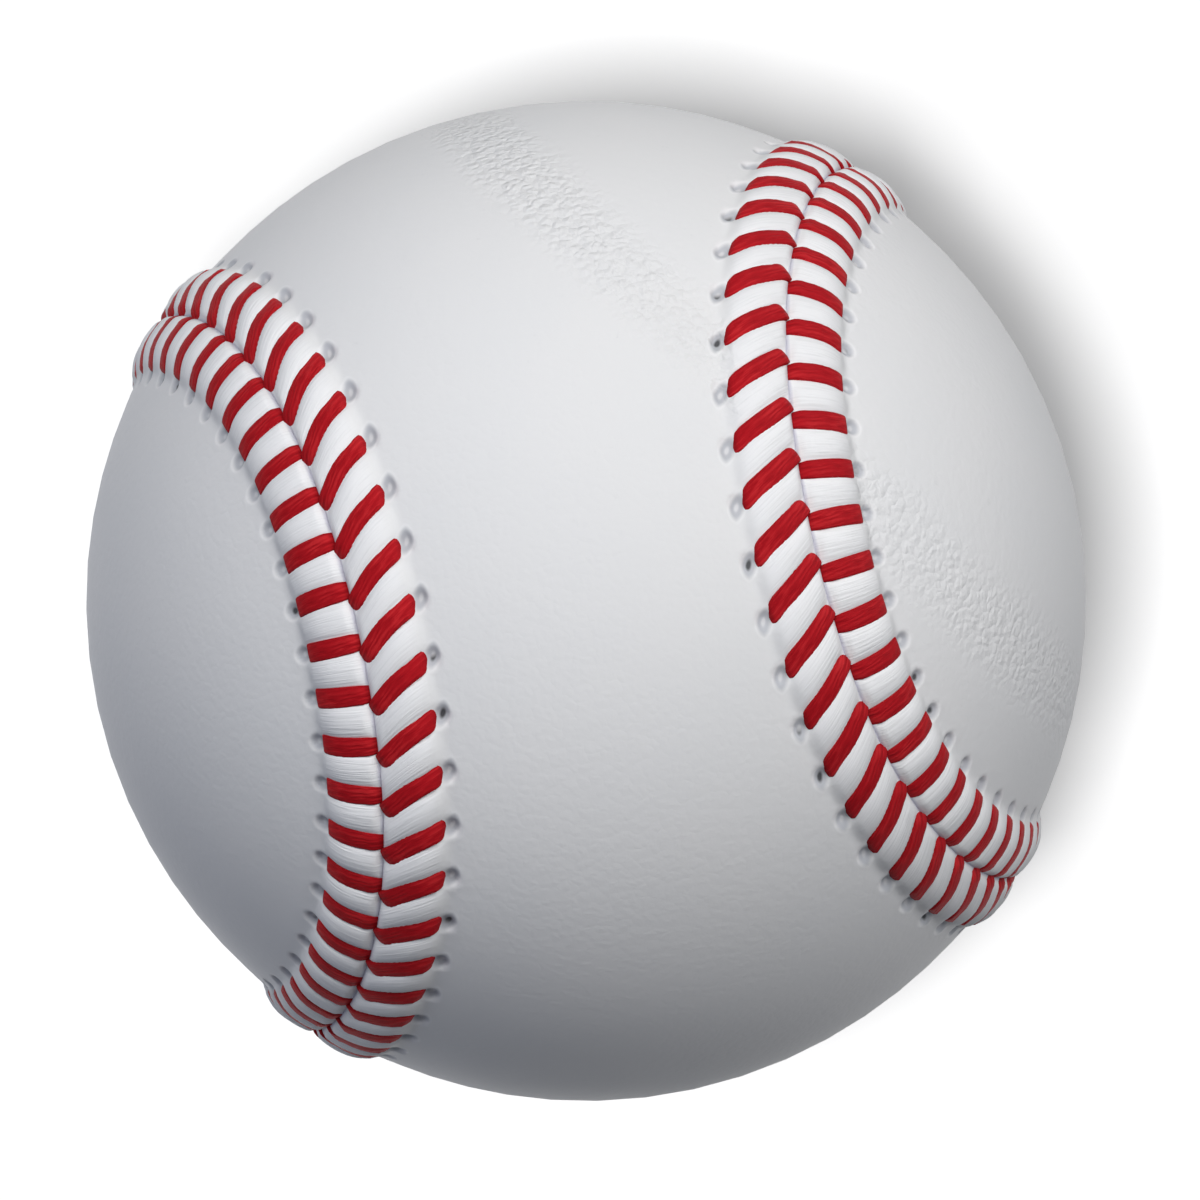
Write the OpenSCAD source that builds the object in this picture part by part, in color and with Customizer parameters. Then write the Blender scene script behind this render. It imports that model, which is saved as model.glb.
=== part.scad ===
// Regulation baseball, built up the way the real ball is: a cork centre, two black rubber half
// shells with a washer in their joint, two red rubber half shells, four windings of yarn, two
// figure-eight leather panels and the two threads that sew them together.
// Sizes are in millimetres. The origin is the ball's centre. +Z points through the waist of
// cover panel A, and the two lobes of that panel reach down the +Y and -Y sides.

/* [Ball and cover] */
// Diameter of the finished ball over the smooth leather
ball_d = 74.4; // [72.8:0.1:74.8]
// Thickness of the leather
leather_t = 1.22; // [1.0:0.02:1.5]
// Room between the leather and the last winding
cover_clearance = 0.13; // [0.11:0.01:0.3]
// How far the welt beside the seam stands above the smooth leather
welt_h = 0.85; // [0.3:0.05:1.0]
// Radius of the welt's round top, seen across the seam
welt_top_r = 1.82; // [1.6:0.02:1.86]
// How far the welt's middle lies beyond the middle of a stitch
welt_shift = 0.08; // [0.06:0.01:0.12]
// Half of the open seam between the two panels
seam_half_gap = 0.58; // [0.56:0.02:0.8]
// How far the inner face lifts under the welt to let the thread pass
welt_lift = 0.27; // [0.24:0.01:0.5]
// Distance from the seam over which that lifted part dies out
welt_fade = 6.4; // [6.0:0.1:8.0]
// How much the waist of each panel is drawn in
waist_share = 0.411; // [0.35:0.005:0.45]
// How much the lobes of each panel are squared off
lobe_share = 0.03; // [0:0.005:0.06]

/* [Stitching] */
// Double stitches around the seam
stitches = 108; // [108:1:108]
// Where the first stitch sits between two panel ends, as a share of the pitch
stitch_phase_share = 0.32; // [0:0.01:1]
// Diameter of a needle hole
hole_d = 1.5; // [1.4:0.05:1.7]
// Distance from the seam to where a thread goes down its hole
thread_row = 4.85; // [4.6:0.05:5.2]
// Width of the thread where it lies flat over the welt
thread_w = 1.25; // [1.0:0.05:1.3]
// Thickness of the thread where it lies flat over the welt
thread_t = 0.6; // [0.5:0.05:0.65]
// Diameter of the round thread under the leather
thread_d = 0.7; // [0.6:0.05:0.75]
// How far a stitch's hole in panel A lies behind the tip of the V
lean_a = 2.3; // [1.8:0.1:2.8]
// How far a stitch's hole in panel B lies behind the tip of the V
lean_b = 0.5; // [0.2:0.1:1.0]
// How far past the tip of the V the thread of panel A enters the seam
enter_a = 0.9; // [0.8:0.05:1.0]
// How far before the tip of the V the thread of panel B enters the seam
enter_b = 0.5; // [0.4:0.05:0.6]
// Room between the flat thread and the welt below it
thread_clearance = 0.19; // [0.14:0.01:0.24]
// How deep the thread under the leather lies in the last winding
thread_bed = 0.45; // [0.4:0.01:0.47]
// Room between that thread and its bed in the winding
bed_clearance = 0.04; // [0.02:0.01:0.08]
// Height above the winding at which the flat thread ends in the round one
leg_end_gap = 0.1; // [0.08:0.01:0.15]

/* [Centre] */
// Diameter of the cork ball
cork_d = 20.6; // [20:0.1:21]
// Thickness of the two black rubber half shells around it
black_rubber_t = 3.3; // [3:0.05:3.8]
// Thickness of the two red rubber half shells around those
red_rubber_t = 3.85; // [3.4:0.05:4.2]
// Thickness of the washer between the black half shells
washer_t = 1.2; // [0.8:0.1:2]
// Height of the lip that keys each black half shell into the washer
lip_h = 0.4; // [0.2:0.05:0.5]
// Width of that lip
lip_w = 1.2; // [0.8:0.1:1.6]
// Height of the tongue on the lower red half shell
tongue_h = 1.0; // [0.6:0.1:1.5]
// Width of that tongue
tongue_w = 1.4; // [1.0:0.1:1.8]

/* [Windings] */
// How far out the first winding, of grey four-ply wool, reaches between the centre and the last
// winding
first_winding_share = 0.788; // [0.74:0.002:0.82]
// How far out the second winding, of white three-ply wool, reaches in the same way
second_winding_share = 0.887; // [0.86:0.002:0.92]
// Thickness of the last winding, of white cotton yarn
fourth_winding_t = 0.75; // [0.7:0.01:1]
// Room between one layer and the next
layer_clearance = 0.04; // [0.02:0.01:0.1]

/* [Hidden] */
$fn = 64;

ball_r = ball_d / 2;
cover_in_r = ball_r - leather_t;
winding_r = cover_in_r - cover_clearance;
black_rubber_d = cork_d + 2 * black_rubber_t;
red_rubber_d = black_rubber_d + 2 * red_rubber_t;
third_winding_d = 2 * (winding_r - fourth_winding_t);
wool_t = third_winding_d - red_rubber_d;
first_winding_d = red_rubber_d + wool_t * first_winding_share;
second_winding_d = red_rubber_d + wool_t * second_winding_share;
welt_mid = thread_row / 2 + welt_shift;

// The seam as a closed curve on a sphere of radius one. It runs past the end of panel B's lobe
// on the +X side at 0 degrees and past the end of panel A's lobe on the +Y side at 90 degrees.
function seam_raw(u) = [
    cos(u) - waist_share * cos(3 * u) + lobe_share * cos(5 * u),
    sin(u) + waist_share * sin(3 * u) + lobe_share * sin(5 * u),
    2 * sqrt(waist_share) * cos(2 * u)
];
function seam_slope(u) = [
    -sin(u) + 3 * waist_share * sin(3 * u) - 5 * lobe_share * sin(5 * u),
    cos(u) + 3 * waist_share * cos(3 * u) + 5 * lobe_share * cos(5 * u),
    -4 * sqrt(waist_share) * sin(2 * u)
];
function unit(v) = v / norm(v);
function seam_dir(u) = unit(seam_raw(u));
function seam_way(u) = let (p = seam_dir(u), v = seam_slope(u)) unit(v - p * (p * v));

// Length along the seam against its angle, so that points can be spaced evenly
arc_steps = 720;
arc_step = 360 / arc_steps;
arc_table = [
    for (
        i = 0, s = 0;
        i <= arc_steps;
        s = s + norm(seam_dir(arc_step * (i + 1)) - seam_dir(arc_step * i)), i = i + 1
    ) [s, arc_step * i]
];
seam_len = arc_table[arc_steps][0];
pitch = ball_r * seam_len / stitches;
function angle_at(s) = let (turns = floor(s / seam_len))
    lookup(s - turns * seam_len, arc_table) + 360 * turns;

// Direction of a point that lies a given distance beside the seam. side is 1 into panel A and
// -1 into panel B.
function beside(s, d, side) = let (
    u = angle_at(s),
    p = seam_dir(u),
    turn = d / ball_r * 180 / PI
) p * cos(turn) + cross(p, seam_way(u)) * side * sin(turn);

// Cover panels. Both are cut from one pattern, drawn here as panel B.
around = 112;
rows = around / 2;
across = 14;
welt_top_steps = 6;
welt_seam_angle = -72;
welt_foot_angle = 60;
welt_centre_r = ball_r + welt_h - welt_top_r;
edge_t_share = 0.25;

// Outer face across the welt, from the seam to the smooth leather, as distance and radius
outer_rings = concat(
    [[seam_half_gap, cover_in_r + welt_lift + leather_t * edge_t_share]],
    [
        for (i = [0 : welt_top_steps])
            let (a = welt_seam_angle + (welt_foot_angle - welt_seam_angle) * i / welt_top_steps)
                [welt_mid + welt_top_r * sin(a), welt_centre_r + welt_top_r * cos(a)]
    ],
    [[thread_row + hole_d / 2, ball_r], [welt_fade, ball_r]]
);
// Inner face across the welt, in the same way
inner_rings = [
    [seam_half_gap, cover_in_r + welt_lift],
    [welt_mid, cover_in_r + welt_lift],
    [thread_row + hole_d / 2, cover_in_r + welt_lift],
    [welt_fade, cover_in_r]
];
outer_count = len(outer_rings);
inner_count = len(inner_rings);

function ring_points(ring) = [
    for (i = [0 : around - 1]) ring[1] * beside(seam_len * i / around, ring[0], -1)
];
// Points inside the last ring: each row joins two ring points that mirror each other
function between(a, b, share) = let (turn = acos(a * b))
    (a * sin(turn * (1 - share)) + b * sin(turn * share)) / sin(turn);
function row_points(radius) = [
    for (i = [1 : rows - 1])
        for (j = [1 : across - 1])
            let (
                a = beside(seam_len * i / around, welt_fade, -1),
                b = beside(seam_len * (around - i) / around, welt_fade, -1)
            ) radius * between(a, b, j / across)
];
panel_points = concat(
    [for (ring = outer_rings) each ring_points(ring)],
    row_points(ball_r),
    [for (ring = inner_rings) each ring_points(ring)],
    row_points(cover_in_r)
);
fill_count = (rows - 1) * (across - 1);
inner_start = outer_count * around + fill_count;

// Triangles of a band between two rings, and of the fill inside a last ring
function band(a, b, flip) = [
    for (i = [0 : around - 1])
        let (k = (i + 1) % around)
            each flip
                ? [[a + i, b + k, b + i], [a + i, a + k, b + k]]
                : [[a + i, b + i, b + k], [a + i, b + k, a + k]]
];
function cell(last, fill, i, j) =
    j == 0 ? last + i
    : j == across ? last + around - i
    : fill + (i - 1) * (across - 1) + j - 1;
function fill_faces(last, fill, flip) = concat(
    [
        for (i = [1 : rows - 2])
            for (j = [0 : across - 1])
                let (
                    p = cell(last, fill, i, j),
                    q = cell(last, fill, i, j + 1),
                    r = cell(last, fill, i + 1, j + 1),
                    t = cell(last, fill, i + 1, j)
                ) each flip ? [[p, r, t], [p, q, r]] : [[p, t, r], [p, r, q]]
    ],
    [
        for (j = [0 : across - 1])
            let (p = cell(last, fill, 1, j), q = cell(last, fill, 1, j + 1))
                flip ? [last, q, p] : [last, p, q]
    ],
    [
        for (j = [0 : across - 1])
            let (p = cell(last, fill, rows - 1, j), q = cell(last, fill, rows - 1, j + 1))
                flip ? [last + rows, p, q] : [last + rows, q, p]
    ]
);
panel_faces = concat(
    [for (m = [0 : outer_count - 2]) each band(m * around, (m + 1) * around, false)],
    fill_faces((outer_count - 1) * around, outer_count * around, false),
    [
        for (m = [0 : inner_count - 2])
            each band(inner_start + m * around, inner_start + (m + 1) * around, true)
    ],
    fill_faces(inner_start + (inner_count - 1) * around, inner_start + inner_count * around, true),
    band(0, inner_start, true)
);

// Frame with its third axis along a direction and its first axis as near as can be to another
function frame_at(origin, up, way) = let (
    z = unit(up),
    x = unit(way - z * (z * way)),
    y = cross(z, x)
) [
    [x[0], y[0], z[0], origin[0]],
    [x[1], y[1], z[1], origin[1]],
    [x[2], y[2], z[2], origin[2]],
    [0, 0, 0, 1]
];

// Where stitch k has its V tip, in lengths along the seam of the sphere of radius one
function tip_at(k) = (k + stitch_phase_share) * pitch / ball_r;
function hole_at(k, side) = tip_at(k) - (side > 0 ? lean_a : lean_b) / ball_r;
function enter_at(k, side) = tip_at(k) + (side > 0 ? enter_a : -enter_b) / ball_r;

module panel_pattern() {
    polyhedron(points = panel_points, faces = panel_faces, convexity = 8);
}

// The flat thread over the welt bends in a circle from the seam to the hole of stitch k. Its
// ends are its middle's places just above the winding.
leg_end_r = winding_r + leg_end_gap;
leg_crest_r = ball_r + welt_h + thread_clearance + thread_t / 2;
function leg_ends(k, side) = leg_end_r * [
    beside(enter_at(k, side), 0, side),
    beside(hole_at(k, side), thread_row, side)
];
function leg_half(ends) = norm(ends[1] - ends[0]) / 2;
function leg_rise(ends) = leg_crest_r - norm(ends[0] + ends[1]) / 2;
function leg_bend_r(ends) =
    (leg_half(ends) * leg_half(ends) + leg_rise(ends) * leg_rise(ends)) / (2 * leg_rise(ends));

// The bend's centre, with the first axis towards the hole and the second away from the ball
module at_leg(ends) {
    up = unit(ends[0] + ends[1]);
    way = ends[1] - ends[0];
    multmatrix(frame_at(up * (leg_crest_r - leg_bend_r(ends)), cross(way, up), way))
        children();
}

module leg(k, side) {
    ends = leg_ends(k, side);
    sweep = 2 * atan2(leg_rise(ends), leg_half(ends));
    at_leg(ends)
        rotate([0, 0, 90 - sweep])
            rotate_extrude(angle = 2 * sweep)
                translate([leg_bend_r(ends), 0]) {
                    square([thread_t, thread_w - thread_t], center = true);
                    for (end = [-1, 1])
                        translate([0, end * (thread_w - thread_t) / 2])
                            circle(d = thread_t);
                }
}

// Needle holes of one panel. Each leans with the thread that comes up through it, and runs
// through the leather at its middle depth.
hole_mid_r = ball_r - leather_t / 2;
module needle_holes(side) {
    for (k = [0 : stitches - 1]) {
        ends = leg_ends(k, side);
        bend_r = leg_bend_r(ends);
        centre_r = leg_crest_r - bend_r;
        turn = acos(
            (hole_mid_r * hole_mid_r - bend_r * bend_r - centre_r * centre_r)
                / (2 * centre_r * bend_r)
        );
        at_leg(ends)
            rotate([0, 0, -turn])
                translate([0, bend_r, 0])
                    rotate([0, 90, 0])
                        cylinder(d = hole_d, h = 2 * leather_t, center = true);
    }
}

// The thread under the leather runs from where stitch k enters the seam to the next hole on the
// other side
run_r = winding_r - thread_bed + thread_d / 2;
function run_from(k, side) = run_r * beside(enter_at(k, side), 0, side);
function run_to(k, side) = run_r * beside(hole_at(k + 1, -side), thread_row, -side);
module under_run(k, side) {
    a = run_from(k, side);
    b = run_to(k, side);
    multmatrix(frame_at(a, b - a, a))
        translate([0, 0, -thread_d / 2])
            cylinder(d = thread_d, h = norm(b - a) + thread_d);
}

// The flat-bottomed bed that such a run presses into the last winding
bed_w = thread_d + 2 * bed_clearance;
module thread_bed(k, side) {
    a = run_from(k, side);
    b = run_to(k, side);
    multmatrix(frame_at(a, b - a, a))
        translate([-bed_w / 2, -bed_w / 2, -bed_w / 2])
            cube([2 * bed_w, bed_w, norm(b - a) + bed_w]);
}

// One thread: it changes panels at every stitch
module thread(first) {
    for (k = [0 : stitches - 1]) {
        side = (k + first) % 2 == 0 ? 1 : -1;
        leg(k, side);
        under_run(k, side);
    }
}

module layer(outside_d, inside_d) {
    difference() {
        sphere(d = outside_d);
        sphere(d = inside_d + 2 * layer_clearance);
    }
}

// Upper half of a layer, from a given height upwards
module half_layer(outside_d, inside_d, from) {
    difference() {
        layer(outside_d, inside_d);
        translate([0, 0, from - outside_d])
            cylinder(d = 2 * outside_d, h = outside_d);
    }
}

// A flat ring with the joint's middle diameter, for lips and tongues and the room around them
module joint_ring(mean_d, width, height) {
    difference() {
        cylinder(d = mean_d + width, h = height);
        translate([0, 0, -height])
            cylinder(d = mean_d - width, h = 3 * height);
    }
}

black_joint_d = (cork_d + black_rubber_d) / 2;
red_joint_d = (black_rubber_d + red_rubber_d) / 2;

module cork_core() {
    color([0.66, 0.47, 0.29])
        sphere(d = cork_d);
}

module black_half() {
    half_layer(black_rubber_d, cork_d, washer_t / 2 + layer_clearance);
    translate([0, 0, washer_t / 2 + 2 * layer_clearance - lip_h])
        joint_ring(black_joint_d, lip_w, 2 * lip_h);
}

module black_rubber_shell_lower() {
    color([0.09, 0.09, 0.1])
        mirror([0, 0, 1])
            black_half();
}

module black_rubber_shell_upper() {
    color([0.09, 0.09, 0.1])
        black_half();
}

module red_rubber_washer() {
    color([0.62, 0.13, 0.11])
        difference() {
            translate([0, 0, -washer_t / 2])
                cylinder(d = black_rubber_d - 2 * layer_clearance, h = washer_t);
            translate([0, 0, -washer_t])
                cylinder(d = cork_d + 2 * layer_clearance, h = 2 * washer_t);
            for (end = [0, 1])
                mirror([0, 0, end])
                    translate([0, 0, washer_t / 2 - lip_h])
                        joint_ring(black_joint_d, lip_w + 2 * layer_clearance, 2 * lip_h);
        }
}

module red_rubber_shell_lower() {
    color([0.7, 0.16, 0.13]) {
        mirror([0, 0, 1])
            half_layer(red_rubber_d, black_rubber_d, layer_clearance);
        translate([0, 0, -tongue_h])
            joint_ring(red_joint_d, tongue_w, 2 * tongue_h);
    }
}

module red_rubber_shell_upper() {
    color([0.7, 0.16, 0.13])
        difference() {
            half_layer(red_rubber_d, black_rubber_d, 0);
            translate([0, 0, layer_clearance - tongue_h])
                joint_ring(red_joint_d, tongue_w + 2 * layer_clearance, 2 * tongue_h);
        }
}

module first_winding() {
    color([0.55, 0.56, 0.58])
        layer(first_winding_d, red_rubber_d);
}

module second_winding() {
    color([0.9, 0.89, 0.86])
        layer(second_winding_d, first_winding_d);
}

module third_winding() {
    color([0.6, 0.61, 0.63])
        layer(third_winding_d, second_winding_d);
}

module fourth_winding() {
    color([0.93, 0.92, 0.89])
        difference() {
            // Turned so that no bed crosses the edge where the sphere's surface closes on itself
            rotate([0, 90, 0])
                layer(2 * winding_r, third_winding_d);
            for (k = [0 : stitches - 1])
                for (side = [-1, 1])
                    thread_bed(k, side);
        }
}

module cover_panel_a() {
    color([0.9, 0.9, 0.89])
        difference() {
            rotate(a = 180, v = [1, 1, 0])
                panel_pattern();
            needle_holes(1);
        }
}

module cover_panel_b() {
    color([0.9, 0.9, 0.89])
        difference() {
            panel_pattern();
            needle_holes(-1);
        }
}

module stitch_thread_one() {
    color([0.75, 0.08, 0.13])
        thread(0);
}

module stitch_thread_two() {
    color([0.75, 0.08, 0.13])
        thread(1);
}

cork_core();
black_rubber_shell_lower();
black_rubber_shell_upper();
red_rubber_washer();
red_rubber_shell_lower();
red_rubber_shell_upper();
first_winding();
second_winding();
third_winding();
fourth_winding();
cover_panel_a();
cover_panel_b();
stitch_thread_one();
stitch_thread_two();
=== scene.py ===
"""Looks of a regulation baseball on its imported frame: the two sewn leather panels, the two red
threads, the yarn, rubber and cork inside, and the stage. Lengths are in metres. Materials and the
tables that say so are in millimetres."""

import math

import bmesh
import bpy
import numpy as np
from bpy.props import FloatProperty, FloatVectorProperty, IntProperty, PointerProperty
from mathutils import Matrix, Vector


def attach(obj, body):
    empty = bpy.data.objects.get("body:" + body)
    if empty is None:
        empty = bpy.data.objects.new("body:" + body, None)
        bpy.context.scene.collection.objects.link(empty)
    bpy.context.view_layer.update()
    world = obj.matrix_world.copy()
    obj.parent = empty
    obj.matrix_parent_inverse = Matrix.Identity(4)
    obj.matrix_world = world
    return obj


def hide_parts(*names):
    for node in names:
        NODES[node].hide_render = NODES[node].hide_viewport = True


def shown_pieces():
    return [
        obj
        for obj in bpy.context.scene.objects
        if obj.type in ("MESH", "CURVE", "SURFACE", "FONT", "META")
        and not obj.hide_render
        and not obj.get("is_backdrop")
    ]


bl_info = {
    "name": "Baseball looks",
    "version": (1, 0, 0),
    "blender": (4, 5, 0),
    "location": "View3D > Sidebar > Baseball",
    "description": "Leather cover, stitching, windings, centre and stage of a baseball",
    "category": "Object",
}

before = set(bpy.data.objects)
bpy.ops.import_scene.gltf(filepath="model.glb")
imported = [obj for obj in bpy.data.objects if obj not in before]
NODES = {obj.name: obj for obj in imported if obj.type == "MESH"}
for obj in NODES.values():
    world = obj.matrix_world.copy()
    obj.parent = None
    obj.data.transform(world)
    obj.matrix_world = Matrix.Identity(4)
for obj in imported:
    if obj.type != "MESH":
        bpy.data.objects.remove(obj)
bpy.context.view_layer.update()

MM = 0.001
PANEL_A, PANEL_B = 1, -1


# ---------------------------------------------------------------------------------------------
# The seam and the places of the stitches on it

SEAM_STEPS = 7200  # straight steps by which the closed seam is measured
SMALL_TURN = 1e-4  # radians to either side, for the seam's own direction
LEG_REACH = 1.1  # a leg's line is followed this far, as a share of the way to the row of holes


def unit(rows):
    return rows / np.linalg.norm(rows, axis=-1, keepdims=True)


def look_up(table, places):
    """Values between the rows of a table of places and values."""
    return np.interp(places, *zip(*table))


def from_whole(numbers):
    return numbers - np.round(numbers)


class Seam:
    """The closed curve between the two panels, with places along it in metres on the ball."""

    def __init__(self, ball):
        self.ball = ball
        self.radius = ball.diameter / 2
        self.turn = np.radians(np.linspace(0, 360, SEAM_STEPS + 1))
        points = self.direction(self.turn)
        self.sideways = points[:, 0]
        steps = np.linalg.norm(np.diff(points, axis=0), axis=1) * self.radius
        self.along = np.concatenate([[0], np.cumsum(steps)])
        self.length = self.along[-1]
        self.pitch = self.length / ball.stitches

    def direction(self, turn):
        waist, lobe = self.ball.waist_share, self.ball.lobe_share
        return unit(np.stack([
            np.cos(turn) - waist * np.cos(3 * turn) + lobe * np.cos(5 * turn),
            np.sin(turn) + waist * np.sin(3 * turn) + lobe * np.sin(5 * turn),
            2 * math.sqrt(waist) * np.cos(2 * turn),
        ], axis=-1))

    def beside(self, along, away, side):
        """Directions of points that lie a distance beside the seam, into one panel."""
        turn = np.interp(np.mod(along, self.length), self.along, self.turn)
        middle = self.direction(turn)
        way = self.direction(turn + SMALL_TURN) - self.direction(turn - SMALL_TURN)
        into = np.cross(middle, unit(way)) * side
        angle = np.asarray(away / self.radius)[..., None]
        return middle * np.cos(angle) + unit(into) * np.sin(angle)

    def tip(self, stitch):
        """Place along the seam of the V that two legs make."""
        return (stitch + self.ball.stitch_phase) * self.pitch

    def hole(self, stitch, side):
        """Place along the seam of the needle hole that a leg comes from."""
        return self.tip(stitch) - self.lean(side)

    def lean(self, side):
        return self.ball.lean_a if side == PANEL_A else self.ball.lean_b

    def enter(self, side):
        return self.ball.enter_a if side == PANEL_A else -self.ball.enter_b

    def leg_line(self, along, away, side):
        """How far behind its V tip the flat thread lies, at a distance from the seam. The leaning
        legs of panel A are pulled into a bow on one side of the ball."""
        leg = np.clip(away / self.ball.thread_row, 0, LEG_REACH)
        line = -self.enter(side) + (self.enter(side) + self.lean(side)) * leg
        if side == PANEL_A:
            sideways = np.interp(np.mod(along, self.length), self.along, self.sideways)
            bow = self.ball.bow_a * np.clip(-sideways, 0, 1)
            line = line + bow * np.sin(np.pi * np.clip(leg, 0, 1))
        return line

    def phase(self, along, away, side):
        """Place along the seam in stitches: a whole number on the middle of each thread."""
        return (along + self.leg_line(along, away, side)) / self.pitch - self.ball.stitch_phase


# ---------------------------------------------------------------------------------------------
# Heights of the leather

# distance from the seam, in halves of the way to the row of holes, and height over the smooth
# leather, as a share of the welt's height
WELT_PROFILE = (
    (0.00, 0.38), (0.02, 0.44), (0.05, 0.52), (0.10, 0.62), (0.18, 0.74), (0.30, 0.84),
    (0.45, 0.91), (0.65, 0.98), (0.90, 1.00), (1.15, 0.95), (1.40, 0.77), (1.62, 0.49),
    (1.80, 0.24), (1.96, 0.07), (2.14, 0.00), (4.00, 0.00),
)
WELT_SAMPLES = 1601  # of the profile
WELT_BLUR = 61  # samples over which the profile is rounded
WELT_SHARP = 0.25  # the profile is sharp at the seam, and has its whole rounding from here on

SEAM_EASE = 0.5 * MM  # puffs and presses start over this width beside the seam
WELT_FOOT = 4.9 * MM  # and end at this distance
FOOT_EASE = 0.7 * MM  # over this width
PRESS_REACH = 0.70 * MM  # of a press, from the middle of its thread
DIMPLE_REACH = 0.55 * MM  # of a dimple, from the middle of its hole
RIM_RADIUS, RIM_REACH = 0.85 * MM, 0.20 * MM  # of the low rim around a dimple
RIM_HEIGHT = 0.08  # as a share of the dimple's depth


def welt_height(away, ball):
    """Height of the bare welt over the smooth leather."""
    places = np.linspace(0, WELT_PROFILE[-1][0], WELT_SAMPLES)
    sharp = look_up(WELT_PROFILE, places)
    blur = np.hanning(WELT_BLUR)
    padded = np.pad(sharp, WELT_BLUR // 2, mode="edge")
    smooth = np.convolve(padded, blur / blur.sum(), mode="valid")
    rounding = np.clip(places / WELT_SHARP, 0, 1)
    profile = sharp * (1 - rounding) + smooth * rounding
    return np.interp(away / (ball.thread_row / 2), places, profile) * ball.welt_height


def cover_height(along, away, side, seam):
    """Height of the leather over the smooth ball, with what the stitches press into it."""
    ball = seam.ball
    phase = seam.phase(along, away, side)
    from_leg = from_whole(phase) * seam.pitch
    pressed = ball.press * np.exp(-(from_leg / PRESS_REACH) ** 4)
    puffed = ball.puff * (1 - np.cos(2 * np.pi * phase)) / 2
    over_welt = np.clip(away / SEAM_EASE, 0, 1) * np.clip((WELT_FOOT - away) / FOOT_EASE, 0, 1)
    hole = (along + seam.lean(side)) / seam.pitch - ball.stitch_phase
    from_hole = np.hypot(from_whole(hole) * seam.pitch, away - ball.hole_row)
    dip = np.exp(-(from_hole / DIMPLE_REACH) ** 4)
    rim = RIM_HEIGHT * np.exp(-((from_hole - RIM_RADIUS) / RIM_REACH) ** 2)
    return welt_height(away, ball) + over_welt * (puffed - pressed) + ball.dimple * (rim - dip)


# ---------------------------------------------------------------------------------------------
# Meshes


def rolled_grid(rows, numbers, closed_rows):
    """A grid laid over rows of points and rolled up, so that each row closes on itself, and with
    closed_rows the last row on the first. numbers are kept on the vertices by name. Also gives
    the vertices of the first and the last row."""
    count, width = rows.shape[:2]
    shape = bmesh.new()
    layers = [shape.verts.layers.float.new(name) for name in numbers]
    bmesh.ops.create_grid(
        shape, x_segments=width, y_segments=count if closed_rows else count - 1, size=1
    )
    shape.verts.ensure_lookup_table()
    verts = list(shape.verts)
    grid = [verts[i:i + width + 1] for i in range(0, len(verts), width + 1)]
    for i in range(count):
        for vert, point in zip(grid[i], rows[i]):
            vert.co = point
        for layer, values in zip(layers, numbers.values()):
            for vert, value in zip(grid[i], values[i]):
                vert[layer] = value
    onto = {row[-1]: row[0] for row in grid[:count]}
    if closed_rows:
        onto.update({vert: grid[0][j % width] for j, vert in enumerate(grid[-1])})
    bmesh.ops.weld_verts(shape, targetmap=onto)
    return shape, grid[0][:width], grid[count - 1][:width]


def make_mesh(name, shape, material):
    mesh = bpy.data.meshes.new(name)
    shape.to_mesh(mesh)
    shape.free()
    mesh.materials.append(material)
    return mesh


def make_object(name, shape, material):
    mesh = make_mesh(name, shape, material)
    mesh.shade_smooth()
    thing = bpy.data.objects.new(name, mesh)
    bpy.context.scene.collection.objects.link(thing)
    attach(thing, "root")
    return thing


def column(rows, key, kind=np.int32):
    """One number of each item in a mesh's collection."""
    values = np.zeros(len(rows), kind)
    rows.foreach_get(key, values)
    return values


def map_from_numbers(mesh, name, along_name, along_period, across_name):
    """A UV map from two numbers kept on the vertices, unrolled where the first one starts again."""
    corner = column(mesh.loops, "vertex_index")
    along, across = (
        column(mesh.attributes[key].data, "value", np.float32)[corner]
        for key in (along_name, across_name)
    )
    start, total = (column(mesh.polygons, key) for key in ("loop_start", "loop_total"))
    highest = np.repeat(np.maximum.reduceat(along, start), total)
    along = along + along_period * (highest - along > along_period / 2)
    layer = mesh.uv_layers.new(name=name)
    layer.uv.foreach_set("vector", np.stack([along, across], axis=1).astype(np.float32).ravel())
    for key in (along_name, across_name):
        mesh.attributes.remove(mesh.attributes[key])


# ---------------------------------------------------------------------------------------------
# Panels

# rings of points along the seam, in millimetres: on the outside their distance from it, and on
# the inside their distance and their height over the inner face
OUTER_RINGS = (
    0.00, 0.08, 0.18, 0.30, 0.45, 0.65, 0.90, 1.20, 1.50, 1.80, 2.10, 2.40, 2.70, 3.00, 3.28,
    3.54, 3.78, 4.00, 4.20, 4.38, 4.54, 4.70, 4.85, 5.00, 5.15, 5.30, 5.46, 5.64, 5.86, 6.15, 6.60,
)
INNER_RINGS = ((6.60, 0.0), (5.40, 0.27), (0.00, 0.27))
FILL_STARTS = OUTER_RINGS[-1] - 0.01  # points further from the seam belong to the filled middle
POINTS_PER_STITCH = 14  # of each ring
FILL_ROWS = 13  # of points between the two sides of a filled middle


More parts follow.
